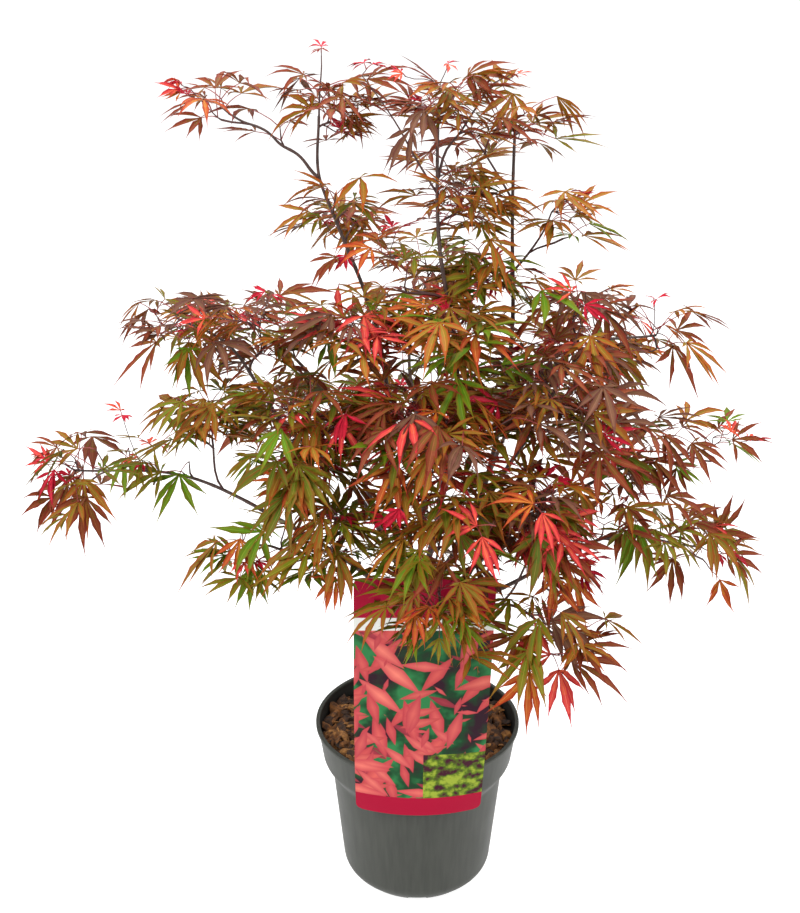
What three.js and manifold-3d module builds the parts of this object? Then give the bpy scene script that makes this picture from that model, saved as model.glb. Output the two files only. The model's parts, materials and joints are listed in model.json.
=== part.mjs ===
// A young Japanese maple in a round nursery pot, with the plant card that hangs on the pot's rim.
// Millimetres, +Z up. The origin is the middle of the pot's flat underside, and the card is on the -Y side.
// The crown is an open one: slender limbs rise from a short trunk, and each carries flat tiers of leaves,
// which are plain uneven solids here.
import * as THREE from "three";
import { mergeVertices } from "three/addons/utils/BufferGeometryUtils.js";
import Module from "manifold-3d";

const wasm = await Module();
wasm.setup();

// Driving dimensions
const POT_HEIGHT = 164;
const RIM_RADIUS = 95;
const COLLAR_DROP = 36; // from the rim to the bottom of the collar
const COLLAR_RADIUS = 88.3;
const STEP_DROP = 12; // height of the slope that joins the collar to the body
const BODY_RADIUS = 80.2;
const BASE_RADIUS = 69.6;
const BASE_ROUND = 12; // rounding between the wall and the base
const BASE_THICKNESS = 7.5;
const WALL = 1.8;
const LIP_HEIGHT = 3.5;
const LIP_OVERHANG = 2; // how far the lip stands out beyond the collar
const LIP_CHAMFER = 1.2;
const POT_SEGMENTS = 36;
const ROUND_STEPS = 3; // corners along each quarter round of the pot's profile

const CHANNELS = 8; // drain channels under the base, each with one hole
const CHANNEL_WIDTH = 17;
const CHANNEL_DEPTH = 5;
const CHANNEL_START = 38;
const NOTCH_START = 62; // a channel's outer end is deeper from this radius on
const NOTCH_DEPTH = 7;
const HOLE_RADIUS = 4.5;
const HOLE_SEGMENTS = 12;
const HOLE_RING = 50;

const GAP = 0.3; // between solids that touch
const SOIL_EDGE = 148;
const SOIL_CROWN = 152;
const SOIL_FLAT = 24; // radius of the level patch round the trunk
const SOIL_TAPER = 10; // the fill draws in to the pot's step from this far under its edge
const TRUNK_SUNK = 8; // how far the trunk's route starts under the substrate, before it is cut off flat

const CARD_WIDTH = 115;
const CARD_LENGTH = 264;
const CARD_THICKNESS = 1.0;
const CARD_FOOT = 120; // height of the card's lower edge
const CARD_CLEARANCE = 1.2; // between the rim and the card's back
const CARD_LEAN = 0.155; // the card leans out by this much for each unit of height, as the pot's wall does
const CARD_TURN = 0.015; // the card stands a little askew
const CARD_BOW = 12; // how far the lower corners wrap back round the pot
const CARD_COLUMNS = 6;
const CARD_ROWS = 3;
const TONGUE_WIDTH = 26;
const TONGUE_LENGTH = 16;
const TONGUE_LEAN = 0.1;
const HOOK_THICKNESS = 1.2;
const HOOK_REACH = 3; // how far the hook runs past the inner edge of the lip

const LIMB_SIDES = 6;
const LIMB_STEPS = 8;
const LIMB_TAPER = 0.85; // under 1, so a limb thins sooner near its foot
const FLARE_FALL = 12; // the higher, the lower down the trunk its root flare ends

const BARK = new THREE.MeshStandardMaterial({ color: 0x4a332c, roughness: 0.8 });
const POT_PLASTIC = new THREE.MeshStandardMaterial({ color: 0x5d5e58, roughness: 0.45 });
const BARK_MULCH = new THREE.MeshStandardMaterial({ color: 0x5a3a1c, roughness: 0.95 });
const CARD_STOCK = new THREE.MeshStandardMaterial({ color: 0xb5123a, roughness: 0.5 });
const LEAF_COLOURS = {
  bronze: new THREE.MeshStandardMaterial({ color: 0x6d3a2c, roughness: 0.6 }),
  red: new THREE.MeshStandardMaterial({ color: 0xa43a38, roughness: 0.6 }),
  olive: new THREE.MeshStandardMaterial({ color: 0x5c5a22, roughness: 0.6 }),
  green: new THREE.MeshStandardMaterial({ color: 0x4f7426, roughness: 0.6 }),
};

const RIM_INSIDE = RIM_RADIUS - LIP_OVERHANG - WALL;
const UP = new THREE.Vector3(0, 0, 1);
const maple = new THREE.Group();

// ---- Solids and their joins ----

// A closed three.js geometry as a manifold-3d solid.
function solidOf(geometry) {
  const bare = geometry.index ? geometry.toNonIndexed() : geometry.clone();
  bare.deleteAttribute("normal");
  bare.deleteAttribute("uv");
  const merged = mergeVertices(bare, 1e-3);
  return new wasm.Manifold(
    new wasm.Mesh({
      numProp: 3,
      vertProperties: merged.attributes.position.array,
      triVerts: new Uint32Array(merged.index.array),
    }),
  );
}

function geometryOf(solid) {
  const mesh = solid.getMesh();
  return new THREE.BufferGeometry()
    .setAttribute("position", new THREE.BufferAttribute(new Float32Array(mesh.vertProperties), 3))
    .setIndex(new THREE.BufferAttribute(new Uint32Array(mesh.triVerts), 1));
}

// The biggest piece that a cut leaves.
function largest(solid) {
  return solid.decompose().reduce((best, piece) => (piece.volume() > best.volume() ? piece : best));
}

function addPart(name, geometry, material) {
  const mesh = new THREE.Mesh(geometry, material);
  mesh.name = name;
  maple.add(mesh);
}

// ---- The pot: a thin injection-moulded wall with a collar, and drain channels under the base ----

function potProfile(inset, floor, round) {
  const points = [];
  const side = BASE_RADIUS - inset;
  for (let i = 0; i <= ROUND_STEPS; i++) {
    const turn = (i / ROUND_STEPS) * (Math.PI / 2);
    points.push([side - round + round * Math.sin(turn), floor + round - round * Math.cos(turn)]);
  }
  points.push([BODY_RADIUS - inset, POT_HEIGHT - COLLAR_DROP - STEP_DROP]);
  points.push([COLLAR_RADIUS - inset, POT_HEIGHT - COLLAR_DROP]);
  points.push([RIM_RADIUS - LIP_OVERHANG - inset, POT_HEIGHT - LIP_HEIGHT]);
  return points;
}

function turned(points) {
  return new THREE.LatheGeometry(
    points.map(([radius, height]) => new THREE.Vector2(radius, height)),
    POT_SEGMENTS,
  ).rotateX(Math.PI / 2);
}

function makePot() {
  const outside = potProfile(0, 0, BASE_ROUND);
  const inside = potProfile(WALL, BASE_THICKNESS, BASE_ROUND - WALL);
  const lip = [
    [RIM_RADIUS, POT_HEIGHT - LIP_HEIGHT + LIP_CHAMFER],
    [RIM_RADIUS, POT_HEIGHT],
    [RIM_INSIDE, POT_HEIGHT],
  ];
  const profile = [[0, 0], ...outside, ...lip, ...inside.reverse(), [0, BASE_THICKNESS]];
  let pot = solidOf(turned(profile));
  for (let i = 0; i < CHANNELS; i++) {
    const turn = -Math.PI / 2 + (i / CHANNELS) * 2 * Math.PI;
    for (const [start, depth] of [[CHANNEL_START, CHANNEL_DEPTH], [NOTCH_START, NOTCH_DEPTH]]) {
      const reach = RIM_RADIUS - start;
      const channel = new THREE.BoxGeometry(reach, CHANNEL_WIDTH, 2 * depth)
        .translate(start + reach / 2, 0, 0)
        .rotateZ(turn);
      pot = pot.subtract(solidOf(channel));
    }
    const hole = new THREE.CylinderGeometry(HOLE_RADIUS, HOLE_RADIUS, 4 * BASE_THICKNESS, HOLE_SEGMENTS)
      .rotateX(Math.PI / 2)
      .translate(HOLE_RING, 0, 0)
      .rotateZ(turn);
    pot = pot.subtract(solidOf(hole));
  }
  addPart("pot", geometryOf(pot), POT_PLASTIC);
}

// ---- The bark substrate that fills the pot, a little below its rim ----

function innerRadius(height) {
  const shoulder = POT_HEIGHT - COLLAR_DROP;
  const lip = POT_HEIGHT - LIP_HEIGHT;
  const share = (height - shoulder) / (lip - shoulder);
  return COLLAR_RADIUS - WALL + (RIM_INSIDE + WALL - COLLAR_RADIUS) * share - GAP;
}

function makeSubstrate() {
  const wall = potProfile(WALL + GAP, BASE_THICKNESS + GAP, BASE_ROUND - WALL)
    .filter(([, height]) => height < SOIL_EDGE - SOIL_TAPER);
  const profile = [
    [0, BASE_THICKNESS + GAP],
    ...wall,
    [innerRadius(SOIL_EDGE), SOIL_EDGE],
    [SOIL_FLAT, SOIL_CROWN],
    [0, SOIL_CROWN],
  ];
  addPart("substrate", geometryOf(solidOf(turned(profile))), BARK_MULCH);
}

// ---- The plant card: a plastic sheet outside the rim, held by a tongue that hooks over it ----

function cardPlane(height) {
  return -RIM_RADIUS - CARD_CLEARANCE - (height - POT_HEIGHT) * CARD_LEAN;
}

function makeCard() {
  const sheet = new THREE.BoxGeometry(
    CARD_WIDTH, CARD_LENGTH, CARD_THICKNESS, CARD_COLUMNS, CARD_ROWS, 1,
  ).translate(0, CARD_LENGTH / 2, CARD_THICKNESS / 2);
  const position = sheet.getAttribute("position");
  for (let i = 0; i < position.count; i++) {
    const [across, along, through] = [position.getX(i), position.getY(i), position.getZ(i)];
    const height = CARD_FOOT + along * Math.cos(Math.atan(CARD_LEAN));
    const bow = CARD_BOW * (1 - along / CARD_LENGTH) ** 2;
    const share = (2 * across) / CARD_WIDTH;
    const narrowing = 1 - (2 / 3) * ((2 * bow) / CARD_WIDTH) ** 2;
    const depth = cardPlane(height) - through + bow * share ** 2;
    position.setXYZ(i, across * narrowing + along * CARD_TURN, depth, height);
  }
  const bridge = POT_HEIGHT + GAP + HOOK_THICKNESS / 2;
  const front = cardPlane(bridge) - CARD_THICKNESS / 2;
  const back = HOOK_REACH - RIM_INSIDE;
  const hook = new THREE.BoxGeometry(TONGUE_WIDTH, back - front, HOOK_THICKNESS)
    .translate(0, (front + back) / 2, bridge);
  const tongue = new THREE.BoxGeometry(TONGUE_WIDTH, CARD_THICKNESS, TONGUE_LENGTH)
    .translate(0, 0, -TONGUE_LENGTH / 2)
    .rotateX(TONGUE_LEAN)
    .translate(0, back - CARD_THICKNESS, bridge + HOOK_THICKNESS / 2);
  addPart("plant_card", geometryOf(solidOf(sheet).add(solidOf(hook)).add(solidOf(tongue))), CARD_STOCK);
}

// ---- Limbs: each is one tapering, gently curved stick ----

// A closed cylinder is bent along a curve, ring by ring, and thinned towards its tip.
function limbGeometry(route, footRadius, tipRadius, flare = 0) {
  const curve = new THREE.CatmullRomCurve3(route.map((point) => new THREE.Vector3(...point)));
  const stick = new THREE.CylinderGeometry(1, 1, 1, LIMB_SIDES, LIMB_STEPS);
  const frames = curve.computeFrenetFrames(LIMB_STEPS);
  const position = stick.getAttribute("position");
  const corner = new THREE.Vector3();
  for (let i = 0; i < position.count; i++) {
    corner.fromBufferAttribute(position, i);
    const share = corner.y + 0.5;
    const step = Math.round(share * LIMB_STEPS);
    const taper = (tipRadius - footRadius) * share ** LIMB_TAPER;
    const radius = footRadius + taper + flare * (1 - share) ** FLARE_FALL;
    const middle = curve.getPointAt(share);
    middle.addScaledVector(frames.binormals[step], corner.x * radius);
    middle.addScaledVector(frames.normals[step], corner.z * radius);
    position.setXYZ(i, middle.x, middle.y, middle.z);
  }
  return stick;
}

const TRUNK = {
  route: [[0, 0, SOIL_CROWN - TRUNK_SUNK], [3, 1, 190], [4, -2, 240], [-2, -6, 300]],
  foot: 9, tip: 6, flare: 6,
};

// Each row: the route from the fork outwards, the radii at its two ends, and the tier that it ends in.
const LIMBS = {
  stem_left: {
    route: [[-3, -6, 292], [-22, -10, 375], [-37, 4, 555], [-70, 17, 636], [-83, 24, 670], [-82, 30, 718]],
    foot: 3.2, tip: 1.1, ends: "tier_top_left",
  },
  stem_centre: {
    route: [[-1, -7, 294], [20, -22, 398], [30, -34, 524], [15, -20, 622], [14, 8, 722]],
    foot: 3.4, tip: 1.2, ends: "tier_top_centre",
  },
  stem_right: {
    route: [[0, -6, 284], [46, 6, 365], [78, 24, 500], [77, 31, 620], [78, 40, 712]],
    foot: 3.2, tip: 1.2, ends: "tier_top_right",
  },
  limb_top_left: {
    route: [[-83, 24, 669], [-110, 24, 696], [-154, 20, 722]],
    foot: 1.5, tip: 0.9, ends: "tier_top_left_tip",
  },
  limb_left_shoulder: {
    route: [[-3, -6, 296], [-52, -58, 420], [-112, -60, 490], [-161, -28, 545], [-200, -12, 560]],
    foot: 2.9, tip: 1, ends: "tier_left_shoulder_tip",
  },
  limb_left_arm: {
    route: [[1, -3, 246], [-42, -52, 340], [-100, -80, 396], [-184, -58, 436], [-288, -42, 436]],
    foot: 3, tip: 0.9, ends: "tier_left_arm_tip",
  },
  limb_left_low: {
    route: [[-74, -71, 374], [-108, -100, 392], [-138, -118, 404]],
    foot: 1.6, tip: 0.9, ends: "tier_left_low_tip",
  },
  limb_right_shoulder: {
    route: [[38, 2, 350], [96, -30, 470], [146, -10, 536], [200, 10, 538]],
    foot: 2.6, tip: 1, ends: "tier_right_shoulder_tip",
  },
  limb_right_arm: {
    route: [[2, -5, 268], [62, -42, 360], [150, -36, 426], [250, 8, 434]],
    foot: 3, tip: 0.9, ends: "tier_right_arm_tip",
  },
  limb_right_low: {
    route: [[4, -3, 240], [72, -52, 330], [160, -62, 382], [246, -22, 354]],
    foot: 2.8, tip: 0.9, ends: "tier_right_low_tip",
  },
  limb_right_skirt: {
    route: [[4, -2, 226], [38, -64, 304], [80, -112, 344], [114, -132, 326]],
    foot: 2.7, tip: 1, ends: "tier_right_skirt",
  },
  limb_front: {
    route: [[3, -2, 256], [8, -62, 344], [13, -124, 384], [15, -164, 376]],
    foot: 2.7, tip: 1, ends: "tier_front_apron",
  },
  limb_back_left: {
    route: [[2, 0, 262], [-46, 62, 370], [-106, 118, 470], [-160, 110, 520]],
    foot: 3.1, tip: 1.1, ends: "tier_back_left",
  },
  limb_back_right: {
    route: [[2, 0, 250], [52, 66, 350], [112, 116, 450], [164, 112, 490]],
    foot: 3.1, tip: 1.1, ends: "tier_back_right",
  },
  limb_back: {
    route: [[0, -4, 286], [6, 70, 400], [-6, 128, 500], [10, 160, 545]],
    foot: 3.1, tip: 1.1, ends: "tier_back",
  },
  limb_back_low: {
    route: [[3, 0, 232], [-10, 84, 320], [-34, 160, 380], [-40, 190, 396]],
    foot: 2.7, tip: 1, ends: "tier_back_low",
  },
};

// ---- Tiers of foliage: flat uneven pads that droop outwards ----

// Each row: middle of the tier, half its width, depth and thickness, and the tint of most of its leaves.
const TIERS = {
  tier_top_left_tip: { at: [-160, 20, 724], half: [38, 34, 20], tint: "bronze" },
  tier_top_left: { at: [-72, 30, 724], half: [36, 46, 30], tint: "bronze" },
  tier_top_centre: { at: [18, 10, 726], half: [46, 54, 27], tint: "bronze" },
  tier_top_right: { at: [80, 40, 712], half: [34, 44, 32], tint: "bronze" },
  tier_upper_left: { at: [-70, 8, 656], half: [50, 40, 20], tint: "olive" },
  tier_upper_centre: { at: [30, 4, 655], half: [54, 50, 26], tint: "bronze" },
  tier_upper_right_tip: { at: [118, 12, 630], half: [30, 38, 26], tint: "olive" },
  tier_high_left: { at: [-18, -50, 606], half: [44, 52, 26], tint: "olive" },
  tier_high_right: { at: [58, 0, 606], half: [40, 56, 28], tint: "olive" },
  tier_left_shoulder_tip: { at: [-205, -10, 562], half: [46, 50, 26], tint: "bronze" },
  tier_left_shoulder: { at: [-124, -28, 556], half: [45, 56, 30], tint: "bronze" },
  tier_mid_left: { at: [-50, -62, 556], half: [42, 56, 29], tint: "red" },
  tier_mid_centre: { at: [24, -70, 558], half: [42, 58, 29], tint: "olive" },
  tier_right_shoulder: { at: [128, 0, 560], half: [46, 56, 30], tint: "bronze" },
  tier_right_shoulder_tip: { at: [202, 12, 536], half: [36, 44, 30], tint: "bronze" },
  tier_left_flank_tip: { at: [-170, -64, 486], half: [42, 46, 30], tint: "green" },
  tier_left_flank: { at: [-96, -92, 490], half: [54, 60, 38], tint: "olive" },
  tier_heart: { at: [6, -104, 490], half: [60, 62, 36], tint: "red" },
  tier_right_flank: { at: [104, -66, 510], half: [54, 62, 34], tint: "red" },
  tier_right_arm: { at: [164, -34, 446], half: [52, 58, 38], tint: "bronze" },
  tier_right_arm_tip: { at: [256, 10, 432], half: [42, 40, 24], tint: "bronze" },
  tier_left_arm_tip: { at: [-292, -40, 428], half: [33, 40, 30], tint: "bronze" },
  tier_left_arm: { at: [-222, -54, 438], half: [40, 40, 22], tint: "green" },
  tier_left_low_tip: { at: [-138, -120, 408], half: [34, 44, 28], tint: "green" },
  tier_left_low: { at: [-74, -122, 412], half: [40, 48, 34], tint: "green" },
  tier_front_low: { at: [16, -134, 434], half: [46, 52, 32], tint: "olive" },
  tier_front_apron: { at: [14, -168, 372], half: [44, 34, 26], tint: "olive" },
  tier_right_low_front: { at: [92, -120, 424], half: [42, 52, 42], tint: "red" },
  tier_right_low: { at: [160, -74, 396], half: [42, 52, 24], tint: "olive" },
  tier_right_low_tip: { at: [250, -20, 352], half: [40, 42, 24], tint: "olive" },
  tier_right_skirt: { at: [116, -134, 318], half: [46, 40, 34], tint: "red" },
  tier_right_apron: { at: [98, -136, 358], half: [32, 34, 24], tint: "olive" },
  tier_back_top: { at: [30, 100, 660], half: [54, 42, 24], tint: "bronze" },
  tier_back_high: { at: [-66, 104, 602], half: [58, 44, 26], tint: "bronze" },
  tier_back_left: { at: [-166, 100, 520], half: [58, 52, 28], tint: "bronze" },
  tier_back: { at: [14, 168, 548], half: [62, 50, 28], tint: "bronze" },
  tier_back_right: { at: [162, 110, 500], half: [58, 54, 30], tint: "red" },
  tier_back_low_left: { at: [-126, 128, 428], half: [58, 50, 28], tint: "olive" },
  tier_back_low: { at: [-34, 196, 396], half: [56, 46, 28], tint: "green" },
  tier_back_low_right: { at: [100, 160, 414], half: [62, 50, 28], tint: "olive" },
};
const SMALL_TIER = 48; // tiers no wider than this, in half width, have a coarser skin
const DROOP = 0.00085; // turn outwards, in radians for each millimetre from the trunk's line
// Each row: how much a wave swells the tier, its turns along X, Y and Z, and its shift from tier to tier.
const SWELLS = [
  [0.16, 2.6, 1.7, 0, 1.3],
  [0.1, 0, 4.4, -2.1, 2.9],
  [0.06, 6.1, 0, 3.3, 0.7],
];

// A sphere with the three swells, different for each tier, and then a fit to the tier's stated size.
function tierGeometry({ at, half }, index) {
  const detail = half[0] <= SMALL_TIER ? 1 : 2;
  const ball = new THREE.IcosahedronGeometry(1, detail).deleteAttribute("normal").deleteAttribute("uv");
  const skin = mergeVertices(ball);
  const position = skin.getAttribute("position");
  const corner = new THREE.Vector3();
  for (let i = 0; i < position.count; i++) {
    corner.fromBufferAttribute(position, i);
    const swell = SWELLS.reduce(
      (sum, [height, x, y, z, shift]) =>
        sum + height * Math.sin(x * corner.x + y * corner.y + z * corner.z + shift * index),
      1,
    );
    position.setXYZ(i, corner.x * swell, corner.y * swell, corner.z * swell);
  }
  skin.computeBoundingBox();
  const middle = skin.boundingBox.getCenter(new THREE.Vector3());
  const size = skin.boundingBox.getSize(new THREE.Vector3());
  skin.translate(-middle.x, -middle.y, -middle.z);
  skin.scale((2 * half[0]) / size.x, (2 * half[1]) / size.y, (2 * half[2]) / size.z);
  const outward = new THREE.Vector3(at[0], at[1], 0);
  const axis = new THREE.Vector3().crossVectors(UP, outward).normalize();
  skin.applyMatrix4(new THREE.Matrix4().makeRotationAxis(axis, outward.length() * DROOP));
  skin.translate(...at);
  return skin;
}

// The same solid a little larger all round, so that what is cut by it keeps its gap.
function clearanceOf(geometry, { at, half }) {
  const grow = 1 + (2 * GAP) / Math.min(...half);
  const centred = geometry.clone().translate(-at[0], -at[1], -at[2]);
  return solidOf(centred.scale(grow, grow, grow).translate(...at));
}

function overlaps(a, b) {
  const [first, second] = [a.boundingBox(), b.boundingBox()];
  return [0, 1, 2].every((k) => first.min[k] <= second.max[k] && second.min[k] <= first.max[k]);
}

function cutBy(solid, others) {
  return others
    .filter((other) => overlaps(solid, other))
    .reduce((left, other) => largest(left.subtract(other)), solid);
}

// The wood is made from the trunk outwards: the trunk is cut off flat at the substrate, and each limb stops
// at the wood before it and at the tier that it ends in.
function makeWood() {
  const { route, foot, tip, flare } = TRUNK;
  const below = new THREE.BoxGeometry(2 * SOIL_FLAT, 2 * SOIL_FLAT, SOIL_FLAT)
    .translate(0, 0, SOIL_CROWN + GAP - SOIL_FLAT / 2);
  const trunk = solidOf(limbGeometry(route, foot, tip, flare)).subtract(solidOf(below));
  addPart("trunk", geometryOf(trunk), BARK);
  const wood = [{ ends: null, clearance: solidOf(limbGeometry(route, foot + GAP, tip + GAP, flare)) }];
  const tierNames = Object.keys(TIERS);
  for (const [name, limb] of Object.entries(LIMBS)) {
    const tier = TIERS[limb.ends];
    const pad = clearanceOf(tierGeometry(tier, tierNames.indexOf(limb.ends)), tier);
    const whole = solidOf(limbGeometry(limb.route, limb.foot, limb.tip));
    addPart(name, geometryOf(cutBy(whole, [pad, ...wood.map((made) => made.clearance)])), BARK);
    const clearance = solidOf(limbGeometry(limb.route, limb.foot + GAP, limb.tip + GAP));
    wood.push({ ends: limb.ends, clearance });
  }
  return wood;
}

// A tier is cut round the limbs that run through it and by the tiers before it.
function makeTiers(wood) {
  const taken = [];
  Object.entries(TIERS).forEach(([name, tier], index) => {
    const pad = tierGeometry(tier, index);
    const limbs = wood.filter((made) => made.ends !== name).map((made) => made.clearance);
    addPart(name, geometryOf(cutBy(solidOf(pad), [...limbs, ...taken])), LEAF_COLOURS[tier.tint]);
    taken.push(clearanceOf(pad, tier));
  });
}

makePot();
makeSubstrate();
makeCard();
makeTiers(makeWood());

export default maple;
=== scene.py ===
"""A young Japanese maple in a round nursery pot, with a plain plant card hung on the pot's rim.

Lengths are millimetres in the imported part's frame, +Z up, and turn into metres as each mesh is made.
"""

import json
import math

import bmesh
import bpy
import numpy as np
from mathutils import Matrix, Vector


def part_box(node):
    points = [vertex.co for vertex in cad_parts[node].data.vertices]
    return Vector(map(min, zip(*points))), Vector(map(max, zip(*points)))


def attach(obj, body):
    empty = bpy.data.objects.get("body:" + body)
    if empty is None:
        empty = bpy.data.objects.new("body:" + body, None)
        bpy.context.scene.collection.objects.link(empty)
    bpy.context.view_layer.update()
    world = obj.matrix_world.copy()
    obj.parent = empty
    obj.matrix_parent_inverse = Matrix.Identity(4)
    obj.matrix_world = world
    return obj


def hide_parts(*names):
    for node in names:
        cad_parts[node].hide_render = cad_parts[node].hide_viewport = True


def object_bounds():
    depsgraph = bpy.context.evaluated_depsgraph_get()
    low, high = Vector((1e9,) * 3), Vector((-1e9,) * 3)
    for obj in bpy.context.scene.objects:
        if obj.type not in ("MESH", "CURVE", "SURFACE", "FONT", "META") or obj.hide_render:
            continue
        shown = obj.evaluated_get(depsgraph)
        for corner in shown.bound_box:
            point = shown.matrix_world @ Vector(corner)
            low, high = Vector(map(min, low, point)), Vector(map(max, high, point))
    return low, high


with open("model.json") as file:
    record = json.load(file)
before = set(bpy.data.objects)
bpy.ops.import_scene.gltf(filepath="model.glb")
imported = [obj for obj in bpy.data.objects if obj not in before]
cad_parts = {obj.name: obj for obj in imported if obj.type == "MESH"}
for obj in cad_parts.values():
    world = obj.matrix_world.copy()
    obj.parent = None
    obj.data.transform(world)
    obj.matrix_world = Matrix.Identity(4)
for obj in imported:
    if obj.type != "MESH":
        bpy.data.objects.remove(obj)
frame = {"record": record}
cad_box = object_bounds()

# ---- Nursery pot ----
# A thin injection-moulded pot with a stepped collar, a narrow lip, and eight drain channels that leave
# feet under the base. Turned from one rounded profile, with the channels and holes cut after.

MM = 0.001
POT_HEIGHT = 164
RIM_RADIUS = 95
WALL = 1.8
BASE_THICKNESS = 7.5
POT_TURNS = 160  # corners round the pot
CHANNELS = 8
CHANNEL_WIDTH = 17
CHANNEL_DEPTH = 5
CHANNEL_START = 38
NOTCH_START = 62  # a channel's outer end is deeper from this radius on
NOTCH_DEPTH = 7
HOLE_RADIUS = 4.5
HOLE_RING = 50


def linear(colour):
    """An sRGB hex colour, such as #5d5e58, as linear red, green, blue and alpha."""
    channels = [int(colour[i : i + 2], 16) / 255 for i in (1, 3, 5)]
    return [c / 12.92 if c <= 0.04045 else ((c + 0.055) / 1.055) ** 2.4 for c in channels] + [1]


def add_node(tree, kind, inputs=None, **settings):
    """Adds a shader node with its settings. An input is a value, or another node's output to link."""
    node = tree.nodes.new(kind)
    for name, value in settings.items():
        setattr(node, name, value)
    for name, value in (inputs or {}).items():
        if isinstance(value, bpy.types.NodeSocket):
            tree.links.new(value, node.inputs[name])
        else:
            node.inputs[name].default_value = value
    return node


def new_material(name, colour, roughness, specular=0.5):
    """A material with one Principled shader, whose constant sockets are set on it directly."""
    material = bpy.data.materials.new(name)
    material.use_nodes = True
    shader = material.node_tree.nodes["Principled BSDF"]
    shader.inputs["Base Color"].default_value = linear(colour)
    shader.inputs["Roughness"].default_value = roughness
    shader.inputs["Specular IOR Level"].default_value = specular
    return material, material.node_tree, shader


def add_piece(name, points, faces, materials, slots=None, crease=None):
    """Makes a smooth-shaded mesh object from points in millimetres. Edges sharper than crease stay sharp."""
    mesh = bpy.data.meshes.new(name)
    mesh.from_pydata(np.asarray(points, float) * MM, [], faces)
    for material in materials:
        mesh.materials.append(material)
    if slots is not None:
        mesh.polygons.foreach_set("material_index", np.asarray(slots, np.int32))
    mesh.shade_smooth()
    if crease is not None:
        mesh.set_sharp_from_angle(angle=math.radians(crease))
    mesh.update()
    piece = bpy.data.objects.new(name, mesh)
    bpy.context.scene.collection.objects.link(piece)
    return piece


def rounded(corners, steps=5):
    """Rounds each corner (radius, height, rounding) of an outline with a short curve."""
    outline = []
    for i, (x, z, size) in enumerate(corners):
        corner = np.array([x, z], float)
        if size == 0 or i in (0, len(corners) - 1):
            outline.append(corner)
            continue
        before = np.array(corners[i - 1][:2]) - corner
        after = np.array(corners[i + 1][:2]) - corner
        start = corner + before / np.linalg.norm(before) * size
        end = corner + after / np.linalg.norm(after) * size
        for k in range(steps + 1):
            t = k / steps
            outline.append((1 - t) ** 2 * start + 2 * t * (1 - t) * corner + t**2 * end)
    return outline


def turned(outline, turns):
    """Points and faces of an outline that starts and ends on the axis, turned round it."""
    inner = outline[1:-1]
    points = [(0, 0, outline[0][1]), (0, 0, outline[-1][1])]
    for i in range(turns):
        angle = 2 * math.pi * i / turns
        points += [(r * math.cos(angle), r * math.sin(angle), z) for r, z in inner]
    faces = []
    for i in range(turns):
        here, there = 2 + i * len(inner), 2 + (i + 1) % turns * len(inner)
        faces.append((0, there, here))
        faces.append((1, here + len(inner) - 1, there + len(inner) - 1))
        for k in range(len(inner) - 1):
            faces.append((here + k, there + k, there + k + 1, here + k + 1))
    return points, faces


def box_mesh(low, high, turn):
    """Eight corners and six faces of a box, turned about the Z axis."""
    corners = [(x, y, z) for x in (low[0], high[0]) for y in (low[1], high[1]) for z in (low[2], high[2])]
    cos, sin = math.cos(turn), math.sin(turn)
    points = [(x * cos - y * sin, x * sin + y * cos, z) for x, y, z in corners]
    faces = [(0, 1, 3, 2), (4, 6, 7, 5), (0, 4, 5, 1), (2, 3, 7, 6), (0, 2, 6, 4), (1, 5, 7, 3)]
    return points, faces


def cut_away(piece, cutter):
    """Subtracts one object from another and removes the cutter."""
    modifier = piece.modifiers.new("cut", "BOOLEAN")
    modifier.object, modifier.operation, modifier.solver = cutter, "DIFFERENCE", "EXACT"
    shape = piece.evaluated_get(bpy.context.evaluated_depsgraph_get())
    old = piece.data
    new = bpy.data.meshes.new_from_object(shape)
    piece.modifiers.clear()
    piece.data = new
    new.name = piece.name
    bpy.data.meshes.remove(old)
    bpy.data.objects.remove(cutter)


def grained(name, colour, roughness, specular, grain, tones, relief):
    """A material with a noisy grain between two tones, and bumps in relief.

    grain and relief start with a size along x, y and z in millimetres and a level of detail. The tones come
    with their positions, and relief ends with the bumps' strength and their depth in millimetres.
    """
    material, tree, shader = new_material(name, colour, roughness, specular)
    place = add_node(tree, "ShaderNodeTexCoord").outputs["Object"]
    noises = []
    for size, detail, *_ in (grain, relief):
        scale = [1 / (length * MM) for length in size]
        sized = add_node(tree, "ShaderNodeMapping", {"Vector": place, "Scale": scale}).outputs["Vector"]
        noise = add_node(tree, "ShaderNodeTexNoise", {"Vector": sized, "Scale": 1, "Detail": detail})
        noises.append(noise.outputs["Fac"])
    ramp = add_node(tree, "ShaderNodeValToRGB", {"Fac": noises[0]})
    for element, (position, tone) in zip(ramp.color_ramp.elements, tones):
        element.position, element.color = position, linear(tone)
    tree.links.new(ramp.outputs["Color"], shader.inputs["Base Color"])
    heights = {"Height": noises[1], "Strength": relief[2], "Distance": relief[3] * MM}
    tree.links.new(add_node(tree, "ShaderNodeBump", heights).outputs["Normal"], shader.inputs["Normal"])
    return material, tree, shader


def make_pot_plastic():
    """Recycled polypropylene, moulded: dark grey with a green cast, satin, faintly streaked up the wall."""
    tones = ((0.25, "#30322d"), (0.8, "#3c3e38"))
    relief = ((0.9, 0.9, 0.9), 1, 0.12, 0.2)
    material, tree, shader = grained(
        "recycled_polypropylene_moulded", "#363833", 0.5, 0.3, ((4, 4, 120), 3), tones, relief
    )
    place = add_node(tree, "ShaderNodeTexCoord").outputs["Object"]
    clouds = add_node(tree, "ShaderNodeTexNoise", {"Vector": place, "Scale": 1 / (30 * MM), "Detail": 2})
    limits = {"Value": clouds.outputs["Fac"], "To Min": 0.44, "To Max": 0.58}
    gloss = add_node(tree, "ShaderNodeMapRange", limits)
    tree.links.new(gloss.outputs["Result"], shader.inputs["Roughness"])
    return material


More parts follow.
